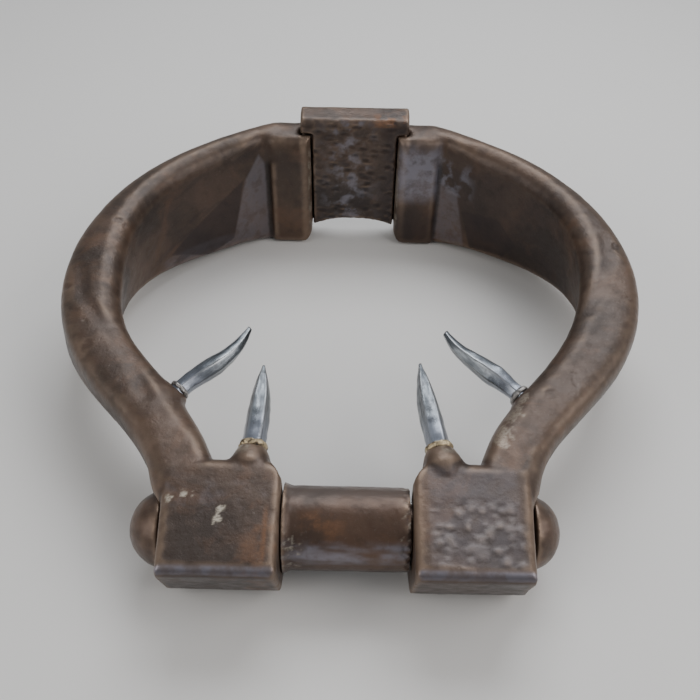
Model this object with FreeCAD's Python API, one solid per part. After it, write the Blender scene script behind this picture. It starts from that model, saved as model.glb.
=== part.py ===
import FreeCAD, Part
import os
from math import cos, radians, sin, tan

# Forged iron neck collar, in millimetres.
# +Z is up, +Y is the back of the neck, and +X runs along the hinge pin towards its burr.
# The collar stands on its two hinge lugs and its two end cuffs, whose undersides are at z = 0.
# The cuffs and lugs mirror each other; the arms and spikes are hand-forged and differ a little.

Vec = FreeCAD.Vector
X_AXIS = Vec(1, 0, 0)

# The pieces are drawn about the neck's centre, then moved so that the origin is the middle
# of the collar's plan: half of the way between its front and its back, and between its sides.
PLAN_CENTRE = Vec(-1.24, 18.9, 0)

# Top rim: one plane that rises towards the back.
TOP_AT_CENTRE = 63.0
TOP_RISE = 0.123

# Front hinge: its axis runs along X.
AXIS_Y = -108.0
AXIS_Z = 27.5
PIN_RADIUS = 12.0
RUNNING_CLEARANCE = 0.05
SPACER_RADIUS = 19.6
SPACER_FLARE = 1.6
LUG_INNER_X = 29.5
LUG_OUTER_X = 86.2
LUG_FRONT_OUTER_X = 82.0
LUG_FRONT_Y = -146.3
LUG_BACK_Y = -84.0
LUG_FOOT_SETBACK = 19.0
LUG_SIDE_RADII = (5.0, 7.0, 19.0, 22.0)
LUG_CHAMFER_X = 8.0
LUG_CHAMFER_Y = 13.0
LUG_PLAN_RADII = (7.0, 4.5, 4.5, 4.5, 4.5)
LUG_EDGE_RADIUS = 3.5
SIDE_GAP = 0.3
HEAD_SEAT_X = 85.0
HEAD_SEAT_GAP = 0.8
HEAD_CROWN = 2.0
SPIGOT_RADIUS = 8.0
SPIGOT_LENGTH = 8.0

# Back of the collar: a cuff on each arm, with the keeper between them.
CUFF_INNER_X = 28.5
CUFF_OUTER_X = 57.0
CUFF_FRONT_Y = 155.0
CUFF_BACK_Y = 181.0
CUFF_HEEL_RADIUS = 10.0
CUFF_RIM_RADIUS = 7.0
CUFF_MOUTH_RADIUS = 6.5
CUFF_EDGE_RADIUS = 3.5
ARM_END_X = 50.0
ARM_FOOT_Z = 0.5
KEEPER_FRONT_Y = 161.0
KEEPER_BACK_Y = 180.0
KEEPER_FOOT_Z = 12.0
KEEPER_ARCH = 6.0
KEEPER_EDGE_RADIUS = 1.5
CAP_HALF_WIDTH = 36.0
CAP_HEIGHT = 9.5
CAP_BROW_RADIUS = 6.0
CAP_EDGE_RADIUS = 1.6
TONGUE_END_X = 35.0
TONGUE_INNER_RADIUS = 276.0
TONGUE_OUTER_RADIUS = 283.0
TONGUE_FOOT_ANGLE = -3.0
TONGUE_TOP_ANGLE = 11.0
GROOVE_TOP_ANGLE = 25.0
GROOVE_GAP = 0.35

# The band's section: rounding of its rim and of its two lower edges.
BAND_RIM_RADIUS = 8.5
BAND_FOOT_RADII = (6.0, 7.0)

# Larger than the whole collar: how far cutting shapes reach.
BEYOND = 400.0

# Spikes: two on each arm, with round tangs in blind holes.
TANG_RADIUS = 4.0
TANG_LENGTH = 12.0
COLLAR_HEIGHT = 4.0
COLLAR_WIDTH = 1.3
MOUND_DEPTH = 26.0
MOUND_LIP = 0.5
TIP_RADIUS = 0.9

# Stations of each arm, drawn on the +X side: outer top corner x, y, heading of the outward side
# in degrees, width at the top, width at the foot, how far the foot leans outwards, foot height.
# The right arm is the slimmer one.
ARM_STATIONS = {
    "left": (
        (30, 184, 82, 18, 17, -1, 0.5),
        (72, 172, 71, 20, 21, 1, 0.8),
        (104, 152, 55, 21, 24, 4, 3),
        (136, 120, 38, 23, 25, 6, 7),
        (157, 77, 18, 29, 28, 7, 14),
        (162, 33, -3, 35, 31, 6, 20),
        (152, -9, -24, 34, 30, 1, 28),
        (130, -44, -36, 36, 29, -3, 30),
        (109, -67, -36, 33, 29, -3, 27),
        (96, -86, -22, 30, 31, -2, 18),
        (87, -108, -8, 34, 34, -2, 8),
    ),
    "right": (
        (30, 184, 82, 18, 17, -1, 0.5),
        (72, 172, 71, 20, 21, 1, 0.8),
        (104, 152, 55, 21, 22, 4, 3),
        (136, 120, 38, 23, 22, 6, 7),
        (157, 77, 18, 29, 25, 6, 14),
        (162, 33, -3, 36, 28, 2, 20),
        (151, -9, -24, 38, 27, -4, 28),
        (128, -44, -36, 38, 25, -7, 30),
        (107, -67, -36, 34, 26, -6, 27),
        (94, -86, -22, 30, 29, -4, 18),
        (87, -108, -8, 34, 34, -2, 8),
    ),
}


def top_z(y):
    return TOP_AT_CENTRE + TOP_RISE * y


def rounded_wire(corners, radii):
    """Closed wire through the corners, each one rounded by a tangent arc."""
    entries = []
    exits = []
    middles = []
    count = len(corners)
    for index, corner in enumerate(corners):
        before = (corners[index - 1] - corner).normalize()
        after = (corners[(index + 1) % count] - corner).normalize()
        half_angle = before.getAngle(after) / 2
        reach = radii[index] / tan(half_angle)
        bisector = (before + after).normalize()
        entries.append(corner + before * reach)
        exits.append(corner + after * reach)
        middles.append(corner + bisector * (radii[index] / sin(half_angle) - radii[index]))
    edges = []
    for index in range(count):
        edges.append(Part.Arc(entries[index], middles[index], exits[index]).toShape())
        edges.append(Part.LineSegment(exits[index], entries[(index + 1) % count]).toShape())
    return Part.Wire(edges)


def arm_section(x, y, heading, top_width, foot_width, lean, foot_height):
    """Upright section: rounded rim at the top, smaller rounding at the foot."""
    outward = Vec(cos(radians(heading)), sin(radians(heading)), 0)
    base = Vec(x, y, 0)
    rim = Vec(0, 0, top_z(y))
    foot = Vec(0, 0, foot_height)
    corners = [
        base + rim,
        base - outward * top_width + rim,
        base + outward * (lean - foot_width) + foot,
        base + outward * lean + foot,
    ]
    return rounded_wire(corners, [BAND_RIM_RADIUS, BAND_RIM_RADIUS, *BAND_FOOT_RADII])


def prism_along_x(corners, radii, start, length):
    """Solid of constant section along X; the corners are (y, z) pairs."""
    points = [Vec(start, y, z) for y, z in corners]
    face = Part.Face(rounded_wire(points, radii))
    return face.extrude(Vec(length, 0, 0))


def bar_along_x(corners, radii, start, length, end_radius):
    """Prism along X whose two ends are rounded off."""
    bar = prism_along_x(corners, radii, start, length)
    return bar.makeFillet(end_radius, [edge for edge in bar.Edges if not is_along_x(edge)])


def is_along_x(edge):
    ends = [vertex.Point for vertex in edge.Vertexes]
    return len(ends) == 2 and abs(ends[0].x - ends[1].x) > 1


def upright_prism(corners, radii, z0):
    """Tall solid of constant plan; the corners are (x, y) pairs."""
    points = [Vec(x, y, z0) for x, y in corners]
    return Part.Face(rounded_wire(points, radii)).extrude(Vec(0, 0, BEYOND))


def upright_block(x0, x1, y0, y1, z0, edge_radii):
    """Tall block with rounded upright edges: front left, front right, back right, back left."""
    return upright_prism([(x0, y0), (x1, y0), (x1, y1), (x0, y1)], edge_radii, z0)


def above_rim():
    """Everything above the rim plane."""
    corners = [
        Vec(-BEYOND, -BEYOND, top_z(-BEYOND)),
        Vec(-BEYOND, BEYOND, top_z(BEYOND)),
        Vec(-BEYOND, BEYOND, 2 * BEYOND),
        Vec(-BEYOND, -BEYOND, 2 * BEYOND),
    ]
    return Part.Face(Part.makePolygon(corners + corners[:1])).extrude(Vec(2 * BEYOND, 0, 0))


def axis_cylinder(radius, start, length):
    return Part.makeCylinder(radius, length, Vec(start, AXIS_Y, AXIS_Z), X_AXIS)


def arc_about_axis(inner, outer, x0, x1, low_angle, high_angle):
    """Curved bar swept about the hinge axis, so that it slides along its own arc."""
    corners = [
        Vec(x0, AXIS_Y + inner, AXIS_Z),
        Vec(x1, AXIS_Y + inner, AXIS_Z),
        Vec(x1, AXIS_Y + outer, AXIS_Z),
        Vec(x0, AXIS_Y + outer, AXIS_Z),
    ]
    face = Part.Face(Part.makePolygon(corners + corners[:1]))
    centre = Vec(0, AXIS_Y, AXIS_Z)
    face.rotate(centre, X_AXIS, low_angle)
    return face.revolve(centre, X_AXIS, high_angle - low_angle)


def mirrored(shape):
    return shape.mirror(Vec(0, 0, 0), X_AXIS)


class Spike:
    """One spike: its root and tip, its widest radius, and the swelling that carries it."""

    def __init__(self, root, tip, radius, mound_radius):
        self.root = Vec(*root)
        self.direction = (Vec(*tip) - self.root).normalize()
        self.length = (Vec(*tip) - self.root).Length
        self.radius = radius
        self.mound_radius = mound_radius

    def revolved(self, profile):
        """Solid of revolution on the spike's axis; the profile is (radius, distance) pairs."""
        points = [Vec(radius, 0, along) for radius, along in profile]
        face = Part.Face(Part.makePolygon(points + points[:1]))
        solid = face.revolve(Vec(0, 0, 0), Vec(0, 0, 1), 360)
        turn = FreeCAD.Rotation(Vec(0, 0, 1), self.direction)
        solid.Placement = FreeCAD.Placement(self.root, turn)
        return solid

    def blade(self):
        """Leaf-shaped spike with a round tang."""
        outline = [
            (0, -TANG_LENGTH),
            (TANG_RADIUS, -TANG_LENGTH),
            (TANG_RADIUS, 0),
            (self.radius * 0.92, 0),
            (self.radius * 0.97, self.length * 0.15),
            (self.radius, self.length * 0.35),
            (self.radius * 0.86, self.length * 0.58),
            (self.radius * 0.56, self.length * 0.80),
            (TIP_RADIUS, self.length),
            (0, self.length),
        ]
        return self.revolved(outline)

    def collar(self):
        """Ring forged round the root of the spike."""
        outer = self.radius + COLLAR_WIDTH
        outline = [
            (TANG_RADIUS, -COLLAR_HEIGHT),
            (outer - 1, -COLLAR_HEIGHT),
            (outer, -COLLAR_HEIGHT / 2),
            (outer - 1, -0.5),
            (outer - 2, 0),
            (TANG_RADIUS, 0),
        ]
        return self.revolved(outline)

    def mound(self):
        """Swelling of the iron that carries the collar."""
        neck = self.radius + COLLAR_WIDTH + MOUND_LIP
        outline = [
            (0, -MOUND_DEPTH),
            (self.mound_radius * 0.5, -MOUND_DEPTH),
            (self.mound_radius * 0.85, -MOUND_DEPTH * 0.78),
            (self.mound_radius, -MOUND_DEPTH * 0.5),
            ((self.mound_radius + neck) / 2, -MOUND_DEPTH * 0.3),
            (neck, -COLLAR_HEIGHT),
            (neck - MOUND_LIP / 2, -COLLAR_HEIGHT * 0.4),
            (0, -COLLAR_HEIGHT * 0.4),
        ]
        return self.revolved(outline)


# Hand-forged, so the two sides differ a little: root, tip, radius, radius of the swelling.
SPIKES = {
    "left_front": Spike((-45.9, -72, 45.3), (-44.4, -28, 54.5), 6.2, 11),
    "right_front": Spike((43.3, -72, 46.4), (36.2, -24.4, 54.5), 6.1, 11),
    "left_rear": Spike((-84.9, -35.1, 46), (-54.5, 1.2, 54), 5.8, 9),
    "right_rear": Spike((84.9, -34.2, 46), (51.1, 0.5, 54), 6.3, 9),
}


def right_cuff_block():
    """Block with a rounded rim, rounded upright edges and a rounded heel under its inner end."""
    width = CUFF_OUTER_X - CUFF_INNER_X
    side_view = [
        (CUFF_FRONT_Y, top_z(CUFF_FRONT_Y)),
        (CUFF_BACK_Y, top_z(CUFF_BACK_Y)),
        (CUFF_BACK_Y, 0),
        (CUFF_FRONT_Y, 0),
    ]
    side_radii = [CUFF_RIM_RADIUS, CUFF_RIM_RADIUS, CUFF_EDGE_RADIUS, CUFF_EDGE_RADIUS]
    front_view = [
        Vec(CUFF_INNER_X, 0, 0),
        Vec(CUFF_OUTER_X, 0, 0),
        Vec(CUFF_OUTER_X, 0, BEYOND),
        Vec(CUFF_INNER_X, 0, BEYOND),
    ]
    heel = Part.Face(rounded_wire(front_view, [CUFF_HEEL_RADIUS] + [CUFF_EDGE_RADIUS] * 3))
    plan = upright_block(
        CUFF_INNER_X,
        CUFF_OUTER_X,
        CUFF_FRONT_Y,
        CUFF_BACK_Y,
        0,
        [CUFF_MOUTH_RADIUS, CUFF_EDGE_RADIUS, CUFF_EDGE_RADIUS, CUFF_EDGE_RADIUS],
    )
    block = prism_along_x(side_view, side_radii, CUFF_INNER_X, width)
    return block.common(plan).common(heel.extrude(Vec(0, BEYOND, 0)))


def lug():
    """Hinge lug: rounded at the foot, flat on the sloping rim, cut back beside the spike."""
    side_view = [
        (LUG_FRONT_Y, top_z(LUG_FRONT_Y)),
        (LUG_BACK_Y, top_z(LUG_BACK_Y)),
        (LUG_BACK_Y, 0),
        (LUG_FRONT_Y + LUG_FOOT_SETBACK, 0),
    ]
    plan = [
        (LUG_INNER_X, LUG_FRONT_Y),
        (LUG_FRONT_OUTER_X, LUG_FRONT_Y),
        (LUG_OUTER_X, LUG_BACK_Y),
        (LUG_INNER_X + LUG_CHAMFER_X, LUG_BACK_Y),
        (LUG_INNER_X, LUG_BACK_Y - LUG_CHAMFER_Y),
    ]
    block = prism_along_x(side_view, LUG_SIDE_RADII, LUG_INNER_X, LUG_OUTER_X - LUG_INNER_X)
    block = block.common(upright_prism(plan, LUG_PLAN_RADII, 0))
    drift = (LUG_OUTER_X - LUG_FRONT_OUTER_X) / (LUG_BACK_Y - LUG_FRONT_Y)
    block = block.common(behind_wall(LUG_FRONT_OUTER_X, drift, -BEYOND))
    return block.common(behind_wall(LUG_INNER_X, 0, BEYOND))


def behind_wall(wall_x, drift, far_x):
    """Everything under the rim plane and on one side of an upright wall, their edge rounded off.

    The wall is at wall_x at the lug's front and drifts sideways towards the back.
    """
    height = top_z(LUG_FRONT_Y)
    corners = [
        Vec(far_x, LUG_FRONT_Y, -BEYOND),
        Vec(wall_x, LUG_FRONT_Y, -BEYOND),
        Vec(wall_x, LUG_FRONT_Y, height),
        Vec(far_x, LUG_FRONT_Y, height),
    ]
    face = Part.Face(rounded_wire(corners, [LUG_EDGE_RADIUS] * 4))
    return face.extrude(Vec(drift, 1, TOP_RISE) * BEYOND)


def arm_blank(stations):
    """Arm and lug in one forging, on the +X side; its back end butts against the cuff."""
    sections = [arm_section(*station) for station in stations]
    band = Part.makeLoft(sections, True, False)
    band = band.cut(Part.makeBox(BEYOND, 2 * BEYOND, BEYOND, Vec(0, -BEYOND, ARM_FOOT_Z - BEYOND)))
    band = band.cut(Part.makeBox(ARM_END_X, BEYOND, BEYOND, Vec(0, 0, -BEYOND / 2)))
    return band.cut(right_cuff_block()).fuse(lug())


def finished_arm(blank, bore_radius, head, side):
    """Arm with its pin bore, its head seat, and the swellings and seats of its two spikes."""
    spikes = [SPIKES[side + "_front"], SPIKES[side + "_rear"]]
    arm = blank
    for spike in spikes:
        arm = arm.fuse(spike.mound())
    arm = arm.cut(axis_cylinder(bore_radius, -BEYOND, 2 * BEYOND))
    arm = arm.cut(head.seat())
    for spike in spikes:
        arm = arm.cut(spike.blade()).cut(spike.collar())
    return arm.removeSplitter()


def groove():
    """Arc slot in a cuff for the keeper's tongue, open at the top."""
    return arc_about_axis(
        TONGUE_INNER_RADIUS - GROOVE_GAP,
        TONGUE_OUTER_RADIUS + GROOVE_GAP,
        CUFF_INNER_X - 5,
        TONGUE_END_X + GROOVE_GAP,
        TONGUE_FOOT_ANGLE - 0.5,
        GROOVE_TOP_ANGLE,
    )


def keeper():
    """Block between the cuffs, with a tongue on each side and a wide cap on top."""
    half = CUFF_INNER_X - SIDE_GAP
    edges = [KEEPER_EDGE_RADIUS] * 4
    body = upright_block(-half, half, KEEPER_FRONT_Y, KEEPER_BACK_Y, KEEPER_FOOT_Z, edges)
    arch_radius = (half ** 2 + KEEPER_ARCH ** 2) / (2 * KEEPER_ARCH)
    arch_centre = Vec(0, 0, KEEPER_FOOT_Z + KEEPER_ARCH - arch_radius)
    body = body.cut(Part.makeCylinder(arch_radius, BEYOND, arch_centre, Vec(0, 1, 0)))
    tongues = arc_about_axis(
        TONGUE_INNER_RADIUS,
        TONGUE_OUTER_RADIUS,
        -TONGUE_END_X,
        TONGUE_END_X,
        TONGUE_FOOT_ANGLE,
        TONGUE_TOP_ANGLE,
    )
    return body.fuse(tongues).cut(above_rim()).fuse(cap()).removeSplitter()


def cap():
    """Wide top of the keeper, with a soft brow in front; it rests on both cuffs."""
    corners = [
        (KEEPER_FRONT_Y, top_z(KEEPER_FRONT_Y) + CAP_HEIGHT),
        (CUFF_BACK_Y, top_z(CUFF_BACK_Y) + CAP_HEIGHT),
        (CUFF_BACK_Y, AXIS_Z),
        (KEEPER_FRONT_Y, AXIS_Z),
    ]
    radii = [CAP_BROW_RADIUS, CUFF_EDGE_RADIUS, CUFF_EDGE_RADIUS, CUFF_EDGE_RADIUS]
    block = bar_along_x(corners, radii, -CAP_HALF_WIDTH, 2 * CAP_HALF_WIDTH, CAP_EDGE_RADIUS)
    return block.common(above_rim())


class Head:
    """Hammered rivet head on one end of the pin, riveted a little below the pin's axis."""

    def __init__(self, start, sign, radius, height, drop):
        self.base = Vec(start, AXIS_Y, AXIS_Z - drop)
        self.outward = X_AXIS * sign
        self.radius = radius
        self.height = height

    def dome(self):
        rim = self.base + Vec(0, self.radius, 0)
        shoulder = self.base + self.outward * (self.height * 0.68) + Vec(0, self.radius * 0.7, 0)
        crown = self.base + self.outward * self.height + Vec(0, HEAD_CROWN, 0)
        peak = self.base + self.outward * self.height
        outline = [
            Part.LineSegment(self.base, rim).toShape(),
            Part.Arc(rim, shoulder, crown).toShape(),
            Part.LineSegment(crown, peak).toShape(),
            Part.LineSegment(peak, self.base).toShape(),
        ]
        return Part.Face(Part.Wire(outline)).revolve(self.base, X_AXIS, 360)

    def seat(self):
        """Flat faced on the lug's outer side for the head."""
        start = Vec(self.outward.x * HEAD_SEAT_X, self.base.y, self.base.z)
        return Part.makeCylinder(self.radius + HEAD_SEAT_GAP, BEYOND, start, self.outward)


# Riveted by hand: the closed head on the left is larger and lower than the burr on the right.
PIN_HEAD = Head(-HEAD_SEAT_X, -1, 18.5, 16.5, 3.0)
BURR = Head(HEAD_SEAT_X + SIDE_GAP, 1, 17.5, 14.0, 0.3)


def hinge_pin():
    """Pin with a domed head on the left and a spigot for the burr on the right."""
    end = HEAD_SEAT_X + SIDE_GAP
    shank = axis_cylinder(PIN_RADIUS, -HEAD_SEAT_X, HEAD_SEAT_X + end)
    spigot = axis_cylinder(SPIGOT_RADIUS, end, SPIGOT_LENGTH)
    return shank.fuse(PIN_HEAD.dome()).fuse(spigot).removeSplitter()


def pin_burr():
    start = HEAD_SEAT_X + SIDE_GAP
    return BURR.dome().cut(axis_cylinder(SPIGOT_RADIUS, start, SPIGOT_LENGTH))


def spacer_barrel():
    """Round bar between the lugs, flared where it meets the left one."""
    length = 2 * LUG_INNER_X - SIDE_GAP
    barrel = axis_cylinder(SPACER_RADIUS, -LUG_INNER_X, length)
    flare = Part.makeCone(
        SPACER_RADIUS + SPACER_FLARE,
        SPACER_RADIUS,
        2.5 * SPACER_FLARE,
        Vec(-LUG_INNER_X, AXIS_Y, AXIS_Z),
        X_AXIS,
    )
    bore = axis_cylinder(PIN_RADIUS, -LUG_INNER_X - 5, length + 10)
    return barrel.fuse(flare).cut(bore).removeSplitter()


def write(name, shape):
    shape = shape.translated(PLAN_CENTRE * -1)
    solids = shape.Solids
    good = shape.isValid() and len(solids) == 1
    box = shape.BoundBox
    print(
        f"{name:20s} ok={good} solids={len(solids)} volume={shape.Volume:10.1f} "
        f"box=({box.XMin:.1f} {box.YMin:.1f} {box.ZMin:.1f}) ({box.XMax:.1f} {box.YMax:.1f} {box.ZMax:.1f})"
    )
    solids[0].exportStep(os.path.join("parts", name + ".step"))


os.makedirs("parts", exist_ok=True)

right_blank = arm_blank(ARM_STATIONS["right"])
left_blank = mirrored(arm_blank(ARM_STATIONS["left"]))
right_cuff = right_cuff_block().cut(groove())

write("right_arm", finished_arm(right_blank, PIN_RADIUS + RUNNING_CLEARANCE, BURR, "right"))
write("left_arm", finished_arm(left_blank, PIN_RADIUS, PIN_HEAD, "left"))
write("right_end_cuff", right_cuff)
write("left_end_cuff", mirrored(right_cuff))
write("back_keeper", keeper())
write("hinge_pin", hinge_pin())
write("pin_burr", pin_burr())
write("spacer_barrel", spacer_barrel())
for name, spike in SPIKES.items():
    write(name + "_spike", spike.blade())
    write(name + "_collar", spike.collar())
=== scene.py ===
import math

import bmesh
import bpy
import numpy as np
from mathutils import Matrix, Vector, noise


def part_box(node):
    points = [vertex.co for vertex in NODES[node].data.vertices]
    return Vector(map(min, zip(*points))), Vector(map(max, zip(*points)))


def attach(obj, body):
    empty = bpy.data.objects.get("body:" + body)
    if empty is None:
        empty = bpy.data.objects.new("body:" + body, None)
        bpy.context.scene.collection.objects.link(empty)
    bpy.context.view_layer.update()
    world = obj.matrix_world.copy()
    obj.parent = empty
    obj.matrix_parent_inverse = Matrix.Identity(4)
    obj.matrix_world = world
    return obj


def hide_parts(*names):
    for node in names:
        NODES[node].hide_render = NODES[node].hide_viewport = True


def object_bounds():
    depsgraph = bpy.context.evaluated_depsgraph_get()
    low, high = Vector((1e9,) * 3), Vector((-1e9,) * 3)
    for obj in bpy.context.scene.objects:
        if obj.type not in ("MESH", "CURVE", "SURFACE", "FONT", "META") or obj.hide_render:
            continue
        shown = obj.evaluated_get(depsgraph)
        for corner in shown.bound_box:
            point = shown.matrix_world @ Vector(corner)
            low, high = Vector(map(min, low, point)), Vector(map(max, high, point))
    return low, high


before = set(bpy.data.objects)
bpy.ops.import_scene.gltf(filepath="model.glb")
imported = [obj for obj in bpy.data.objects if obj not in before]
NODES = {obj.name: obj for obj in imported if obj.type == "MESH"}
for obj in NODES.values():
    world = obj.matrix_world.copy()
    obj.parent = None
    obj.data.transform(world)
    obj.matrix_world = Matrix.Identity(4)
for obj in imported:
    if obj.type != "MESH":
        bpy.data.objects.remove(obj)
cad_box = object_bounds()

MM = 0.001
TANG_MM = 12  # how deep a spike's root runs into its arm
BLADE_START_MM = 6  # how far below the root a visible blade begins


# ---------------------------------------------------------------- helpers


def smoothstep(low, high, values):
    t = np.clip((values - low) / (high - low), 0, 1)
    return t * t * (3 - 2 * t)


def points_of(mesh):
    flat = np.empty(len(mesh.vertices) * 3)
    mesh.vertices.foreach_get("co", flat)
    return flat.reshape(-1, 3)


def normals_of(mesh):
    flat = np.empty(len(mesh.vertices) * 3)
    mesh.vertex_normals.foreach_get("vector", flat)
    return flat.reshape(-1, 3)


def edges_of(mesh):
    flat = np.empty(len(mesh.edges) * 2, dtype=np.int64)
    mesh.edges.foreach_get("vertices", flat)
    return flat.reshape(-1, 2)


def neighbour_mean(values, edges, count):
    """Mean of each vertex's neighbours; values has one row per vertex."""
    total = np.zeros_like(values)
    np.add.at(total, edges[:, 0], values[edges[:, 1]])
    np.add.at(total, edges[:, 1], values[edges[:, 0]])
    degree = np.bincount(edges.ravel(), minlength=count).clip(1)
    return total / (degree[:, None] if values.ndim == 2 else degree)


def fractal(points, size_mm, octaves=3):
    """Smooth noise about 0, with features of about size_mm."""
    scale = 1 / (size_mm * MM)
    return np.array([noise.fractal(Vector(p) * scale, 1.0, 2.0, octaves) for p in points])


def cells(points, size_mm, stretch=(1, 1, 1)):
    """Distance to the nearest cell centre, in cells: 0 at a centre, about 0.5 at a border."""
    scale = np.array(stretch) / (size_mm * MM)
    return np.array([noise.voronoi(Vector(p * scale))[0][0] for p in points])


def near(points, centre, radius_mm):
    """1 at the centre, falling smoothly to 0 at the radius."""
    distance = np.linalg.norm(points - np.array(centre), axis=1)
    return 1 - smoothstep(0, radius_mm * MM, distance)


def reshape(mesh, points):
    mesh.vertices.foreach_set("co", points.ravel())
    mesh.update()


def move_in(mesh, points, depth_mm):
    """Moves each vertex inwards along its normal."""
    reshape(mesh, points - normals_of(mesh) * (np.maximum(depth_mm, 0) * MM)[:, None])


def store(mesh, name, values):
    layer = mesh.attributes.new(name, "FLOAT", "POINT")
    layer.data.foreach_set("value", np.ascontiguousarray(values, dtype=np.float32))


def remeshed(name, nodes, voxel_mm, smoothing):
    """A fine, evenly divided skin over CAD nodes, with its edges softened."""
    work = bmesh.new()
    for node in nodes:
        work.from_mesh(NODES[node].data)
    mesh = bpy.data.meshes.new(name)
    work.to_mesh(mesh)
    work.free()
    raw = bpy.data.objects.new(name + "_raw", mesh)
    bpy.context.scene.collection.objects.link(raw)
    skin = raw.modifiers.new("skin", "REMESH")
    skin.mode = "VOXEL"
    skin.voxel_size = voxel_mm * MM
    evened = raw.modifiers.new("evened", "SMOOTH")
    evened.factor = 0.5
    evened.iterations = smoothing
    graph = bpy.context.evaluated_depsgraph_get()
    final = bpy.data.meshes.new_from_object(raw.evaluated_get(graph))
    bpy.data.objects.remove(raw)
    final.name = name
    final.materials.clear()
    final.polygons.foreach_set("use_smooth", [True] * len(final.polygons))
    piece = bpy.data.objects.new(name, final)
    bpy.context.scene.collection.objects.link(piece)
    return piece


def store_wear_highlight_and_shade(mesh, passes=6):
    """Curvature masks: wear and painted highlight on the raised edges, painted shade in the hollows."""
    points = points_of(mesh)
    edges = edges_of(mesh)
    count = len(points)
    bend = points.copy()
    for _ in range(4):
        bend = neighbour_mean(bend, edges, count)
    lift = np.einsum("ij,ij->i", points - bend, normals_of(mesh)) / MM
    for _ in range(passes):
        lift = 0.5 * lift + 0.5 * neighbour_mean(lift, edges, count)
    # raised edges: partly wear, partly painted rim highlight
    store(mesh, "wear_and_edge_highlight", smoothstep(0.02, 0.13, lift))
    # painted shade in the hollows
    store(mesh, "hollow_shade", smoothstep(0.03, 0.2, -lift))


def store_marks(mesh, **masks):
    """Every iron skin carries each of these masks, from 0 to 1."""
    for name in ("bare", "rust", "glint", "shade", "lump"):
        store(mesh, name, masks.get(name, np.zeros(len(mesh.vertices))))


def finish_piece(piece, body, nodes, material):
    piece.data.materials.append(material)
    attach(piece, body)
    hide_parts(*nodes)


# ---------------------------------------------------------------- materials


class Nodes:
    """Short calls for building one node material."""

    def __init__(self, name):
        self.material = bpy.data.materials.new(name)
        self.material.use_nodes = True
        self.tree = self.material.node_tree
        self.shader = self.tree.nodes["Principled BSDF"]
        coordinate = self.tree.nodes.new("ShaderNodeTexCoord")
        self.place = coordinate.outputs["Object"]

    def new(self, kind, **inputs):
        node = self.tree.nodes.new(kind)
        for key, value in inputs.items():
            self.put(node, key.replace("_", " "), value)
        return node

    def put(self, node, key, value):
        socket = node.inputs[key]
        if isinstance(value, bpy.types.NodeSocket):
            self.tree.links.new(value, socket)
        else:
            socket.default_value = value

    def noise(self, size_mm, detail=4.0, roughness=0.55, vector=None, distortion=0.0):
        node = self.new(
            "ShaderNodeTexNoise",
            Vector=vector or self.place,
            Scale=1 / (size_mm * MM),
            Detail=detail,
            Roughness=roughness,
            Distortion=distortion,
        )
        return node.outputs["Fac"]

    def cells(self, size_mm, vector=None, smooth=0.6):
        node = self.new("ShaderNodeTexVoronoi", Vector=vector or self.place, Scale=1 / (size_mm * MM))
        node.feature = "SMOOTH_F1"
        node.inputs["Smoothness"].default_value = smooth
        return node.outputs["Distance"]

    def attribute(self, name):
        node = self.new("ShaderNodeAttribute")
        node.attribute_name = name
        return node.outputs["Fac"]

    def attribute_vector(self, name):
        node = self.new("ShaderNodeAttribute")
        node.attribute_name = name
        return node.outputs["Vector"]

    def ramp(self, value, low, high, start=0.0, end=1.0):
        node = self.new("ShaderNodeMapRange", Value=value)
        node.interpolation_type = "SMOOTHSTEP"
        self.put(node, "From Min", low)
        self.put(node, "From Max", high)
        self.put(node, "To Min", start)
        self.put(node, "To Max", end)
        return node.outputs["Result"]

    def math(self, operation, first, second):
        node = self.new("ShaderNodeMath")
        node.operation = operation
        self.put(node, 0, first)
        self.put(node, 1, second)
        return node.outputs[0]

    def mix(self, factor, first, second):
        node = self.new("ShaderNodeMix")
        node.data_type = "RGBA"
        self.put(node, 0, factor)
        self.put(node, 6, first)
        self.put(node, 7, second)
        return node.outputs[2]

    def bump(self, height, distance_mm, strength=1.0, under=None):
        node = self.new("ShaderNodeBump", Height=height, Strength=strength, Distance=distance_mm * MM)
        if under is not None:
            self.put(node, "Normal", under)
        return node.outputs["Normal"]


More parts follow.
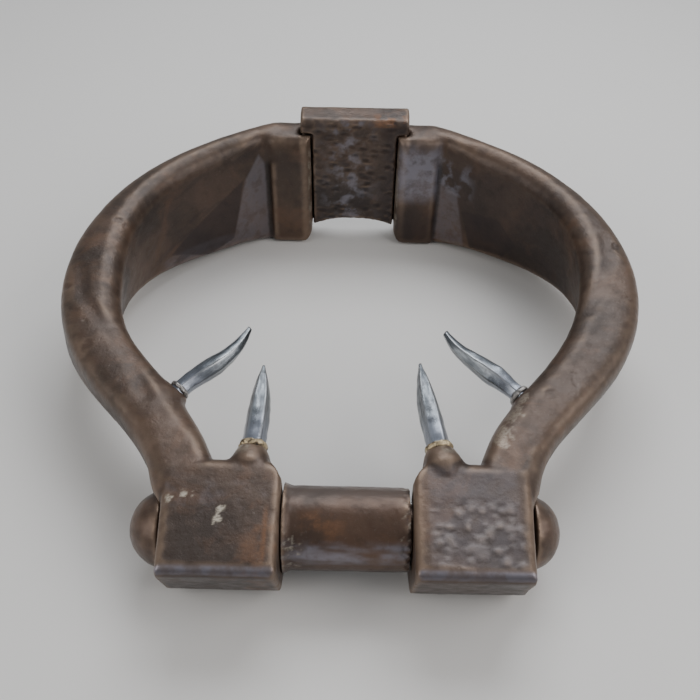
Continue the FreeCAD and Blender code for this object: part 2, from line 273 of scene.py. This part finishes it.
def iron(name, dark, brown, gloss, bump_mm):
    """Forged iron with an oiled brown patina: worn light edges that are partly painted highlight, painted
    shade in the hollows, rust, and painted bluish glints and sheen.
    """
    n = Nodes(name)
    broad = n.noise(46, detail=4.0, distortion=0.5)
    mottle = n.noise(7.5, detail=6.0, roughness=0.6)
    fine = n.noise(1.3, detail=4.0, roughness=0.65)
    grain = n.noise(0.5, detail=2.0)
    patina = n.mix(n.ramp(broad, 0.32, 0.68), dark, brown)
    darker = tuple(channel * 0.62 for channel in dark[:3]) + (1,)
    patina = n.mix(n.ramp(mottle, 0.5, 0.78, 0.0, 0.45), patina, darker)
    patina = n.mix(n.ramp(fine, 0.55, 0.8, 0.0, 0.35), patina, (0.17, 0.14, 0.12, 1))
    warm = n.noise(24, detail=5.0, roughness=0.6, distortion=0.8)
    patina = n.mix(n.ramp(warm, 0.5, 0.72, 0.0, 0.5), patina, (0.14, 0.078, 0.047, 1))
    # lighter on the right lug's raised lumps, and a painted highlight along the bar's top edge
    patina = n.mix(n.math("MULTIPLY", n.attribute("lump"), 0.5), patina, (0.165, 0.138, 0.125, 1))
    # lighter beige on raised edges: partly wear, partly painted rim highlight
    worn_and_lit = n.math("MULTIPLY", n.attribute("wear_and_edge_highlight"), n.ramp(mottle, 0.3, 0.62, 0.55, 1.0))
    patina = n.mix(n.math("MULTIPLY", worn_and_lit, 0.6), patina, (0.3, 0.215, 0.155, 1))
    # painted highlight: bluish glints, sheen and reflections from the glint mask
    blue = n.math("MULTIPLY", n.attribute("glint"), n.ramp(mottle, 0.34, 0.58, 0.45, 1.0))
    patina = n.mix(blue, patina, (0.235, 0.228, 0.268, 1))
    # painted shade from the shade mask, which also carries some dark scratches and scale
    patina = n.mix(n.attribute("shade"), patina, (0.022, 0.016, 0.018, 1))
    # painted shade: hollows darkened towards black
    hollow_shade = n.math("MULTIPLY", n.attribute("hollow_shade"), n.ramp(fine, 0.2, 0.8, 0.6, 1.0))
    patina = n.mix(n.math("MULTIPLY", hollow_shade, 0.85), patina, (0.012, 0.009, 0.008, 1))
    rust = n.math("MULTIPLY", n.attribute("rust"), n.ramp(fine, 0.3, 0.6, 0.5, 1.0))
    patina = n.mix(rust, patina, (0.21, 0.095, 0.042, 1))
    # pale chips and bare scale, and a painted highlight along the cuff's mouth
    chips_and_highlight = n.math("MULTIPLY", n.attribute("bare"), n.ramp(fine, 0.36, 0.56, 0.35, 1.0))
    patina = n.mix(chips_and_highlight, patina, (0.46, 0.41, 0.33, 1))
    n.put(n.shader, "Base Color", patina)
    n.put(n.shader, "Metallic", n.ramp(worn_and_lit, 0.0, 1.0, 0.35, 0.6))
    n.put(n.shader, "Specular IOR Level", 0.4)
    n.put(n.shader, "Coat Weight", 0.08)
    n.put(n.shader, "Coat Roughness", 0.3)
    n.put(n.shader, "Coat Tint", (0.86, 0.9, 1.0, 1))
    rough = n.math("ADD", n.ramp(mottle, 0.3, 0.7, gloss, gloss + 0.14), n.ramp(rust, 0.0, 1.0, 0.0, 0.25))
    n.put(n.shader, "Roughness", n.math("SUBTRACT", rough, n.ramp(blue, 0.0, 1.0, 0.0, 0.1)))
    relief = n.bump(mottle, bump_mm)
    relief = n.bump(n.ramp(n.cells(3.0), 0.0, 0.42), bump_mm * 0.25, 0.7, relief)
    relief = n.bump(fine, bump_mm * 0.35, 0.8, relief)
    relief = n.bump(grain, 0.04, 0.8, relief)
    n.put(n.shader, "Normal", relief)
    return n.material


def steel(name):
    """Ground steel with long scratches, bluish grey, brighter towards the root."""
    n = Nodes(name)
    streak = n.noise(2.0, detail=6.0, roughness=0.7, vector=n.attribute_vector("along"))
    cloud = n.noise(4.0, detail=4.0)
    tone = n.mix(n.ramp(streak, 0.3, 0.72), (0.075, 0.084, 0.094, 1), (0.225, 0.245, 0.265, 1))
    tone = n.mix(n.ramp(cloud, 0.5, 0.72, 0.0, 0.6), tone, (0.06, 0.06, 0.064, 1))
    # painted highlight along the facet ridges
    tone = n.mix(n.math("MULTIPLY", n.attribute("ridge_highlight"), 0.6), tone, (0.7, 0.72, 0.74, 1))
    tone = n.mix(n.math("MULTIPLY", n.attribute("base"), 0.35), tone, (0.4, 0.43, 0.52, 1))
    n.put(n.shader, "Base Color", tone)
    n.put(n.shader, "Metallic", 0.95)
    n.put(n.shader, "Roughness", n.ramp(streak, 0.3, 0.75, 0.34, 0.24))
    relief = n.bump(streak, 0.05)
    n.put(n.shader, "Normal", n.bump(n.noise(1.4), 0.07, 0.7, relief))
    return n.material


def brazing(name, deep, pale, metal):
    """Braze and scale round the root of a spike."""
    n = Nodes(name)
    blotch = n.noise(3.4, detail=5.0, distortion=1.0)
    tone = n.mix(n.ramp(blotch, 0.36, 0.54), deep, pale)
    tone = n.mix(n.ramp(n.noise(1.3), 0.58, 0.72, 0.0, 0.7), tone, (0.02, 0.015, 0.012, 1))
    n.put(n.shader, "Base Color", tone)
    n.put(n.shader, "Metallic", metal)
    n.put(n.shader, "Roughness", n.ramp(blotch, 0.3, 0.7, 0.5, 0.34))
    n.put(n.shader, "Normal", n.bump(n.noise(1.6, detail=5.0), 0.4))
    return n.material


def floor_paint(name):
    n = Nodes(name)
    tone = n.mix(n.noise(300.0), (0.74, 0.73, 0.71, 1), (0.78, 0.77, 0.755, 1))
    n.put(n.shader, "Base Color", tone)
    n.put(n.shader, "Roughness", 0.75)
    return n.material


FORGED = iron("forged_iron_patina", (0.046, 0.032, 0.025, 1), (0.098, 0.062, 0.043, 1), 0.34, 0.26)
KEEPER = iron("keeper_iron_patina", (0.034, 0.026, 0.023, 1), (0.08, 0.054, 0.04, 1), 0.28, 0.3)
BAR = iron("bar_iron_patina", (0.046, 0.031, 0.024, 1), (0.098, 0.058, 0.039, 1), 0.3, 0.15)
STEEL = steel("spike_steel")
BRAZE = brazing("front_seat_braze", (0.1, 0.075, 0.05, 1), (0.56, 0.45, 0.28, 1), 0.55)
SCALE = brazing("rear_seat_scale", (0.09, 0.085, 0.085, 1), (0.36, 0.345, 0.33, 1), 0.6)

# ---------------------------------------------------------------- measures from the frame

bar_low, bar_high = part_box("spacer_barrel")
bar_middle = (bar_low + bar_high) / 2
bar_half = (bar_high.x - bar_low.x) / 2
bar_points = points_of(NODES["spacer_barrel"].data)
bar_radius = bar_points[bar_points[:, 0] > bar_high.x - 0.5 * MM, 2].max() - bar_middle.z
arm_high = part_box("right_arm")[1]
ARM_REACH = arm_high.x - bar_middle.x
ARM_TOP = arm_high.z
NECK_BEHIND_BAR = 0.835
NECK = np.array((bar_middle.x, bar_middle.y + NECK_BEHIND_BAR * ARM_REACH))
keeper_low, keeper_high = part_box("back_keeper")
keeper_middle = (keeper_low + keeper_high) / 2
cuff_high_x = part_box("right_end_cuff")[1].x


def spike_axis(node):
    """Root, unit direction and visible length of a CAD spike, and its widest radius."""
    points = points_of(NODES[node].data)
    centre = points.mean(axis=0)
    direction = np.linalg.svd(points - centre)[2][0]
    along = (points - centre) @ direction
    radius = np.linalg.norm(points - centre - np.outer(along, direction), axis=1)
    if radius[along > along.max() - MM].max() > radius[along < along.min() + MM].max():
        direction = -direction
        along = -along
    tang = TANG_MM * MM
    root = centre + direction * (along.min() + tang)
    return root, direction, along.max() - along.min() - tang, radius.max()


# ---------------------------------------------------------------- forged pieces


def soften(points, edges, weight, passes):
    """Evens out the surface where weight is 1, and leaves it where weight is 0."""
    count = len(points)
    for _ in range(passes):
        mean = neighbour_mean(points, edges, count)
        points = points + (mean - points) * (0.5 * weight)[:, None]
    return points


def patch(values, low, high, edge):
    """1 between low and high, with soft borders."""
    return smoothstep(low - edge, low + edge, values) * (1 - smoothstep(high - edge, high + edge, values))


def inner_corner(points, normals, edges):
    """Mask of the band's upper inner edge, some millimetres wide."""
    outward = points[:, :2] - NECK
    outward /= np.linalg.norm(outward, axis=1)[:, None]
    facing_in = -np.einsum("ij,ij->i", normals[:, :2], outward)
    mask = smoothstep(0.1, 0.45, facing_in) * smoothstep(0.1, 0.45, normals[:, 2])
    for _ in range(12):
        mask = np.maximum(mask, neighbour_mean(mask, edges, len(points)))
    return np.clip(1.6 * mask, 0, 1)


def lug_measures(points, side):
    """Sideways from the bar's middle in arm reaches, and ahead of the pin in bar radii."""
    across = side * (points[:, 0] - bar_middle.x) / ARM_REACH
    ahead = (bar_middle.y - points[:, 1]) / bar_radius
    return across, ahead


def rim_point(side, angle, reach):
    """Place in plan: an angle about the neck's centre and a share of the arm's reach."""
    turn = math.radians(angle)
    return NECK + ARM_REACH * reach * np.array((side * math.cos(turn), math.sin(turn)))


def rim_distance(points, side, places):
    """Distance in plan from a chain of rim places, in millimetres."""
    chain = [rim_point(side, *place) for place in places]
    flat = points[:, :2]
    best = np.full(len(points), 1.0)
    for start, end in zip(chain, chain[1:] + chain[-1:]):
        span = end - start
        share = np.clip(((flat - start) @ span) / max(span @ span, 1e-12), 0, 1)
        best = np.minimum(best, np.linalg.norm(flat - start - share[:, None] * span, axis=1))
    return best / MM


def panel(across, height, corners, edge):
    """Convex panel on an arm's inner face; its corners run round it."""
    middle = np.mean(corners, axis=0)
    inside = np.full(len(across), 1.0)
    for first, second in zip(corners, corners[1:] + corners[:1]):
        along = np.array(second) - first
        normal = np.array((-along[1], along[0])) / np.linalg.norm(along)
        if (middle - first) @ normal < 0:
            normal = -normal
        inside = np.minimum(inside, (across - first[0]) * normal[0] + (height - first[1]) * normal[1])
    return smoothstep(-edge, edge, inside)


# Long hollow left by the hammer in each arm's top, and small nicks: angle, share of the reach.
HOLLOWS = {
    "left": ((1.8, 0.918), (-6.4, 0.888), (-12.2, 0.838), (-18.9, 0.789), (-26.9, 0.761), (-38.8, 0.78)),
    "right": ((14.6, 0.922), (7.8, 0.891), (-0.9, 0.835), (-7.7, 0.793)),
}
NICKS = {
    "left": ((-13.4, 0.88), (-20.0, 0.875), (-9.2, 0.903), (17.0, 0.866), (-3.0, 0.95)),
    "right": ((-28.3, 0.773), (-31.0, 0.809), (-36.2, 0.773), (-3.5, 0.922), (11.1, 0.95)),
}

# Panels on the inner faces, the dark ones darkening the colour and the pale ones a painted lilac sheen:
# shares of the arm's reach sideways and of its height.
DARK_PANELS = {
    "left": [(0.72, 0.237), (0.611, 0.403), (0.442, 0.652), (0.466, 0.391), (0.496, 0.142), (0.6, 0.06)],
    "right": [(0.442, 0.403), (0.587, 0.439), (0.665, 0.273), (0.623, 0.119), (0.496, 0.077)],
}
PALE_PANELS = {
    "left": [(0.381, 0.83), (0.357, 0.735), (0.351, 0.059), (0.496, 0.142), (0.466, 0.391), (0.436, 0.641)],
    "right": [(0.345, 0.6), (0.423, 0.534), (0.472, 0.059), (0.345, 0.059)],
}

# Chips through the patina on the left lug: arm reaches sideways, bar radii ahead, size in mm.
CHIPS = ((0.485, 0.04, 3.4), (0.449, -0.05, 2.8), (0.419, -0.056, 1.8), (0.342, 0.34, 3.0), (0.34, 0.58, 3.6))


def forged_arm(side_name, side):
    """One skin over the arm and its end cuff, which are forged together."""
    nodes = [side_name + "_arm", side_name + "_end_cuff"]
    piece = remeshed(side_name + "_forging", nodes, 1.0, 5)
    mesh = piece.data
    points = points_of(mesh)
    edges = edges_of(mesh)
    across, _ = lug_measures(points, side)
    root = spike_axis(side_name + "_front_spike")[0]
    behind_lug = smoothstep(bar_radius * 1.5, bar_radius * 2.2, points[:, 1] - bar_middle.y)
    band = smoothstep(0.42, 0.5, across) * behind_lug
    rolled = np.maximum(band, near(points, root, 24)) * smoothstep(0.25, 0.4, points[:, 2] / ARM_TOP)
    head = smoothstep(0.72, 0.82, points[:, 2] / ARM_TOP) * (points[:, 1] > NECK[1]) * (across > 0.21)
    points = soften(points, edges, np.maximum(rolled, head), 60)
    reshape(mesh, points)
    points = soften(points, edges, band * inner_corner(points, normals_of(mesh), edges), 130)
    reshape(mesh, points)
    normals = normals_of(mesh)
    upward = smoothstep(0.55, 0.85, normals[:, 2])
    ragged = fractal(points, 6, 4)
    across, ahead = lug_measures(points, side)
    height = points[:, 2] / ARM_TOP
    on_lug = upward * patch(across, 0.225, 0.47, 0.01) * patch(ahead, 0.0, 1.6, 0.15)

    hollow = (1 - smoothstep(0, 6.5, rim_distance(points, side, HOLLOWS[side_name]) + 0.8 * ragged)) * upward
    nicks = np.zeros(len(points))
    for nick in NICKS[side_name]:
        nicks = np.maximum(nicks, 1 - smoothstep(0.3, 3.0, rim_distance(points, side, [nick]) + 5 * ragged))
    nicks *= upward
    depth = 0.35 + 0.3 * fractal(points, 40) + 0.1 * ragged + 0.6 * hollow + 0.35 * nicks
    lumps = np.zeros(len(points))
    if side > 0:
        lumps = (1 - smoothstep(0.28, 0.62, cells(points, 4.6) + 0.3 * ragged)) * on_lug
        depth = depth + 0.25 * on_lug - 0.3 * lumps
    move_in(mesh, points, depth)
    store_wear_highlight_and_shade(mesh)

    inward = smoothstep(0.2, 0.6, -normals[:, 1]) * (points[:, 1] > NECK[1])
    pale = panel(across, height, PALE_PANELS[side_name], 0.006) * inward
    dark = panel(across, height, DARK_PANELS[side_name], 0.004) * inward
    lower = patch(across, 0.35, 0.74, 0.02) * (1 - smoothstep(0.1, 0.13, height - 0.15 * across)) * inward
    slanted = np.stack([0.3 * (across - height), 1.6 * (height + across), 0 * across], axis=1) * ARM_REACH
    streaks = smoothstep(0.12, 0.5, fractal(slanted, 16, 5)) * inward
    cuff = patch(across, 0.1, cuff_high_x / ARM_REACH, 0.01) * inward
    if side > 0:
        # painted lavender sheen on the pale panels and the upper part of the cuff's inner face
        glint = np.maximum(0.3 * pale, 0.75 * cuff * patch(height, 0.45, 0.9, 0.08))
        # painted bluish glints in a cloud high on the right arm's inner face, beside the cuff
        cloud = patch(across, 0.33, 0.47, 0.03) * patch(height, 0.52, 0.8, 0.05) * inward
        glint = np.maximum(glint, 0.7 * cloud * smoothstep(-0.1, 0.4, ragged))
    else:
        # painted lilac sheen on the pale panels and the bottom strip of the left inner face
        glint = np.maximum(0.32 * pale, 0.3 * lower)
    sheen = patch(ahead, -0.4, 0.3, 0.15) * upward * smoothstep(-0.1, 0.5, ragged) * (across < 0.5)
    if side > 0:
        sheen = upward * patch(across, 0.225, 0.47, 0.01) * patch(ahead, -0.9, 1.6, 0.15)
    glint = np.maximum(glint, 0.14 * sheen)
    lug_side = patch(across, 0.19, 0.53, 0.01)
    # painted highlight: thin bluish line along the lug's front edge
    front_edge_highlight = lug_side * patch(ahead, 1.68, 1.93, 0.05) * smoothstep(0.1, 0.4, normals[:, 2])
    glint = np.maximum(glint, 0.85 * front_edge_highlight)
    # painted shade on the lug's front face
    front_face_shade = lug_side * (ahead > 1.2) * smoothstep(0.5, 0.9, -normals[:, 1])
    shade = np.maximum(0.65 * dark, 0.4 * streaks * (1 - pale) * (across > 0.37))
    shade = np.maximum(shade, 0.45 * front_face_shade)
    # painted shade over the arm's inner face, stronger on the right arm
    hood_shade = inward * patch(across, 0.37, 0.85, 0.05) * patch(height, 0.2, 0.9, 0.05)
    shade = np.maximum(shade, (0.4 if side > 0 else 0.15) * hood_shade * (1 - pale))
    if side > 0:
        # painted shade on the lower part of the cuff's inner face
        shade = np.maximum(shade, 0.5 * cuff * (1 - smoothstep(0.25, 0.45, height)))

    bare = np.zeros(len(points))
    rust = np.zeros(len(points))
    if side < 0:
        for chip_across, chip_ahead, size in CHIPS:
            away = np.hypot((across - chip_across) * ARM_REACH, (ahead - chip_ahead) * bar_radius) / MM
            bare = np.maximum(bare, smoothstep(0.0, 0.6, size * 0.45 - away - 3.5 * ragged))
        away = np.hypot((across - 0.235) * ARM_REACH, 0.5 * (ahead - 1.3) * bar_radius) / MM
        rust = 0.3 * (1 - smoothstep(1, 8, away + 9 * ragged))
        flare_seam = patch(across, 0.21, 0.222, 0.004) * patch(ahead, 0.3, 1.6, 0.3)
        rust = np.maximum(rust, 0.6 * upward * flare_seam)
    else:
        worn_edge = rim_distance(points, side, [(-38, 0.69), (-46.2, 0.714), (-54.8, 0.762)])
        bare = 0.35 * smoothstep(0.0, 2.5, 2.6 - worn_edge - 8 * ragged)
    bare = np.maximum(bare * upward, 0.35 * nicks * smoothstep(0.0, 0.3, ragged))
    # painted highlight: pale strip along the cuff's mouth beside the keeper
    mouth_highlight = patch(across, 0.15, 0.183, 0.004) * patch(height, 0.2, 0.85, 0.05) * (points[:, 1] > NECK[1])
    bare = np.maximum(bare, 0.5 * mouth_highlight * smoothstep(-0.3, 0.2, ragged))
    skirt = smoothstep(-2 * MM, 3 * MM, side * (points[:, 0] - root[0])) * near(points, root, 20)
    bare = np.maximum(bare, smoothstep(0.1, 0.6, skirt) * smoothstep(-0.45, 0.2, ragged) * 0.8)
    store_marks(mesh, bare=bare, rust=rust, glint=glint, shade=shade, lump=lumps)
    finish_piece(piece, side_name + "_half", nodes, FORGED)


def forged_keeper():
    """The block between the cuffs, hammered on its inner face, with rust on its cap."""
    piece = remeshed("back_keeper_forging", ["back_keeper"], 0.8, 6)
    mesh = piece.data
    points = points_of(mesh)
    normals = normals_of(mesh)
    inner = smoothstep(0.3, 0.8, -normals[:, 1])
    across = (points[:, 0] - keeper_middle.x) / (keeper_high.x - keeper_middle.x)
    blows = 1 - smoothstep(0.0, 0.5, cells(points, 8.5, (0.85, 1, 2.3)))
    ragged = fractal(points, 7, 4)
    depth = 0.3 + 0.3 * fractal(points, 18) + inner * (0.75 * blows + 0.3 * ragged)
    move_in(mesh, points, depth)
    store_wear_highlight_and_shade(mesh, 4)
    glint = inner * smoothstep(-0.1, 0.6, ragged) * np.exp(-(((across + 0.1) / 0.4) ** 2)) * 0.6
    shade = inner * np.maximum(smoothstep(0.3, 0.75, across), smoothstep(0.0, 0.6, -ragged)) * 0.6
    on_cap = smoothstep(0.5, 0.8, normals[:, 2] - 0.4 * normals[:, 1])
    rust = on_cap * patch(across, 0.35, 0.95, 0.1) * smoothstep(-0.15, 0.25, ragged) * 0.6
    rust = rust * (1 - smoothstep(0.008, 0.012, points[:, 1] - keeper_low.y))
    store_marks(mesh, glint=glint, shade=shade, rust=rust)
    finish_piece(piece, "keeper", ["back_keeper"], KEEPER)


def riveted_head(node):
    """The pin's head or its burr, with low hammer marks."""
    piece = remeshed(node + "_forging", [node], 0.8, 6)
    mesh = piece.data
    points = points_of(mesh)
    move_in(mesh, points, 0.15 + 0.3 * fractal(points, 16) + 0.12 * fractal(points, 5))
    store_wear_highlight_and_shade(mesh)
    store_marks(mesh)
    finish_piece(piece, "left_half", [node], BAR)


def forged_bar():
    """The round bar between the lugs, with scale at its ends."""
    piece = remeshed("spacer_barrel_forging", ["spacer_barrel"], 0.8, 4)
    mesh = piece.data
    points = points_of(mesh)
    ragged = fractal(points, 5, 4)
    along = (points[:, 0] - bar_middle.x) / bar_half
    turn = np.degrees(np.arctan2(points[:, 2] - bar_middle.z, bar_middle.y - points[:, 1]))
    pits = patch(along, -0.98, -0.7, 0.06) * patch(turn, -10, 45, 12)
    pits *= smoothstep(0.15, 0.45, fractal(points, 2.2, 3))
    bits = smoothstep(0.86, 0.97, along + 0.12 * ragged)
    move_in(mesh, points, 0.15 + 0.22 * fractal(points, 18) + 0.1 * ragged + 0.4 * pits + 0.35 * bits)
    store_wear_highlight_and_shade(mesh)
    rust = patch(along, -0.7, -0.05, 0.15) * patch(turn, 38, 78, 12) * smoothstep(-0.25, 0.5, ragged) * 0.4
    # painted highlight: bluish band low on the bar's front
    glint = patch(turn, 0, 36, 9) * smoothstep(-0.4, 0.5, fractal(points * np.array((0.3, 1, 1)), 6)) * 0.65
    pale = np.maximum(0.55 * pits, bits * smoothstep(0.25, 0.5, fractal(points, 3, 3)) * 0.6)
    # painted shade on the bar's underside; the dark seam at its right end is scale
    shade = np.maximum(0.7 * (1 - smoothstep(-35, -5, turn)), 0.9 * bits * smoothstep(-0.1, 0.2, -ragged))
    # the bar's top edge (turn 100 to 130 degrees) gets a painted highlight
    store_marks(mesh, rust=rust, glint=glint, bare=pale, shade=shade, lump=patch(turn, 100, 130, 8))
    finish_piece(piece, "left_half", ["spacer_barrel"], BAR)


# ---------------------------------------------------------------- spikes

RING = 48
STEPS = 70


class Leaf:
    """How one spike was forged: widths along it, how it bows sideways, and its facets."""

    def __init__(self, widths, bow_mm, bow_peak, facets, roll):
        self.places = [place for place, _ in widths]
        self.widths = [width for _, width in widths]
        self.bow_mm = bow_mm
        self.bow_power = math.log(0.5) / math.log(bow_peak)
        self.facets = facets
        self.roll = roll

    def width(self, t):
        """Share of the spike's greatest radius at t, with the outline's corners rounded off."""
        return np.interp(t + np.linspace(-0.09, 0.09, 9), self.places, self.widths).mean()

    def bow(self, t):
        return self.bow_mm * MM * math.sin(math.pi * t**self.bow_power)

    def facet_reach(self, angle):
        """Radius of a many-sided section, 1 at its corners, and how near the angle is to a corner."""
        step = 2 * math.pi / self.facets
        from_middle = (angle % step) - step / 2
        flat = math.cos(step / 2) / math.cos(from_middle)
        return 0.7 * flat + 0.3, abs(from_middle) / (step / 2)


NEEDLE = ((0, 0.98), (0.2, 1.0), (0.4, 0.97), (0.6, 0.83), (0.8, 0.55), (0.93, 0.28), (1, 0.05))
STOUT = ((0, 0.8), (0.12, 0.86), (0.35, 1.0), (0.55, 0.78), (0.8, 0.57), (0.95, 0.33), (1, 0.2))
WAISTED = ((0, 0.7), (0.28, 1.0), (0.5, 0.79), (0.7, 0.6), (0.85, 0.48), (1, 0.24))
LEAVES = {
    "left_front": Leaf(NEEDLE, 0.5, 0.5, 5, 0.3),
    "right_front": Leaf(NEEDLE, -0.5, 0.5, 5, 1.4),
    "left_rear": Leaf(STOUT, 4.0, 0.6, 6, 0.9),
    "right_rear": Leaf(WAISTED, -2.9, 0.7, 6, 2.1),
}


def forged_spike(name, leaf, body):
    node = name + "_spike"
    root, direction, length, radius = spike_axis(node)
    side = np.cross(direction, (0, 0, 1))
    side /= np.linalg.norm(side)
    up = np.cross(side, direction)
    shape = bmesh.new()
    rings = []
    ridge_highlight = []
    base = []
    start = -BLADE_START_MM * MM / length
    for step in range(STEPS + 1):
        t = start + (1 - start) * step / STEPS
        place = max(t, 0)
        centre = root + direction * (length * t) + side * leaf.bow(place)
        ring = []
        for index in range(RING):
            angle = 2 * math.pi * index / RING
            place_on_ring = Vector((math.cos(angle), math.sin(angle), t * 9 + leaf.roll * 7))
            rough = 1 + 0.05 * noise.noise(place_on_ring)
            share, corner = leaf.facet_reach(angle + leaf.roll + 0.2 * t)
            reach = radius * leaf.width(place) * share * rough
            point = centre + side * (reach * math.cos(angle)) + up * (reach * math.sin(angle))
            ring.append(shape.verts.new(point))
            ridge_highlight.append(corner)
            base.append(place)
        rings.append(ring)
    for lower, upper in zip(rings, rings[1:]):
        for index in range(RING):
            after = (index + 1) % RING
            shape.faces.new((lower[index], lower[after], upper[after], upper[index]))
    shape.faces.new(list(reversed(rings[0])))
    shape.faces.new(rings[-1])
    bmesh.ops.recalc_face_normals(shape, faces=shape.faces)
    mesh = bpy.data.meshes.new(node + "_blade")
    shape.to_mesh(mesh)
    shape.free()
    mesh.polygons.foreach_set("use_smooth", [True] * len(mesh.polygons))
    piece = bpy.data.objects.new(node + "_blade", mesh)
    bpy.context.scene.collection.objects.link(piece)
    local = points_of(mesh) - root
    frame_axes = np.stack([local @ direction * 0.12, local @ side, local @ up], axis=1)
    layer = mesh.attributes.new("along", "FLOAT_VECTOR", "POINT")
    layer.data.foreach_set("vector", np.ascontiguousarray(frame_axes, dtype=np.float32).ravel())
    store(mesh, "ridge_highlight", smoothstep(0.72, 0.95, np.array(ridge_highlight)))
    store(mesh, "base", 1 - smoothstep(0.05, 0.4, np.array(base)))
    finish_piece(piece, body, [node], STEEL)


def front_seat(node, body):
    """Bead of braze round the root."""
    piece = remeshed(node + "_seat", [node], 0.4, 4)
    mesh = piece.data
    points = points_of(mesh)
    move_in(mesh, points, 0.2 + 0.7 * fractal(points, 4.5))
    finish_piece(piece, body, [node], BRAZE)


def rear_seat(name, body):
    """The ring hammered down to a low cone against the spike."""
    node = name + "_collar"
    piece = remeshed(node + "_seat", [node], 0.4, 8)
    mesh = piece.data
    points = points_of(mesh)
    root, direction, _, _ = spike_axis(name + "_spike")
    local = points - root
    along = local @ direction
    radial = local - np.outer(along, direction)
    squeeze = 0.9 - 0.22 * smoothstep(-3.4 * MM, -0.2 * MM, along)
    points = root + np.outer(along - 0.7 * MM, direction) + radial * squeeze[:, None]
    reshape(mesh, points)
    move_in(mesh, points, 0.2 + 0.5 * fractal(points, 4.5))
    finish_piece(piece, body, [node], SCALE)


forged_arm("right", 1)
forged_arm("left", -1)
forged_keeper()
forged_bar()
riveted_head("hinge_pin")
riveted_head("pin_burr")
for name, leaf in LEAVES.items():
    body = name.split("_")[0] + "_half"
    forged_spike(name, leaf, body)
    if name.endswith("front"):
        front_seat(name + "_collar", body)
    else:
        rear_seat(name, body)

# ---------------------------------------------------------------- stage, light and camera


def pale_floor():
    mesh = bpy.data.meshes.new("floor")
    half = 3.0
    corners = [(-half, -half, 0), (half, -half, 0), (half, half, 0), (-half, half, 0)]
    mesh.from_pydata(corners, [], [(0, 1, 2, 3)])
    floor = bpy.data.objects.new("floor", mesh)
    floor.location.z = cad_box[0].z - 0.0005
    mesh.materials.append(floor_paint("pale_floor"))
    bpy.context.scene.collection.objects.link(floor)


def softbox(name, place, aim, size, power, colour):
    data = bpy.data.lights.new(name, "AREA")
    data.shape = "RECTANGLE"
    data.size, data.size_y = size
    data.energy = power
    data.color = colour
    light = bpy.data.objects.new(name, data)
    light.location = place
    light.rotation_mode = "QUATERNION"
    light.rotation_quaternion = (Vector(aim) - Vector(place)).to_track_quat("-Z", "Y")
    bpy.context.scene.collection.objects.link(light)


def studio_camera(aim, distance, elevation, roll, lens):
    """Camera in front of the collar, looking down at it."""
    rise = math.radians(elevation)
    tilt = math.radians(roll)
    back = Vector((0, -math.cos(rise), math.sin(rise)))
    right = Vector((1, 0, 0))
    up = back.cross(right)
    across = right * math.cos(tilt) + up * math.sin(tilt)
    upright = up * math.cos(tilt) - right * math.sin(tilt)
    data = bpy.data.cameras.new("camera")
    data.lens = lens
    data.sensor_width = 36
    camera = bpy.data.objects.new("camera", data)
    turn = Matrix((across, upright, back)).transposed().to_4x4()
    camera.matrix_world = Matrix.Translation(aim + back * distance) @ turn
    bpy.context.scene.collection.objects.link(camera)
    bpy.context.scene.camera = camera


pale_floor()
softbox("key", (0.15, 0.6, 0.95), (0, 0, 0.03), (0.9, 0.6), 8.0, (0.95, 0.97, 1.0))
softbox("fill", (0.8, -0.35, 0.7), (0, 0, 0.03), (0.8, 0.8), 5.5, (1.0, 0.97, 0.95))
softbox("left", (-0.8, -0.45, 0.55), (0, 0, 0.03), (0.7, 0.7), 3.2, (1.0, 0.97, 0.93))
world = bpy.data.worlds.new("studio")
world.use_nodes = True
world.node_tree.nodes["Background"].inputs["Color"].default_value = (0.85, 0.87, 0.9, 1)
world.node_tree.nodes["Background"].inputs["Strength"].default_value = 0.35
bpy.context.scene.world = world
aim = Vector((bar_middle.x, bar_middle.y + 0.108, 0.0408))
studio_camera(aim, distance=0.4648, elevation=43, roll=1.2, lens=43.46)
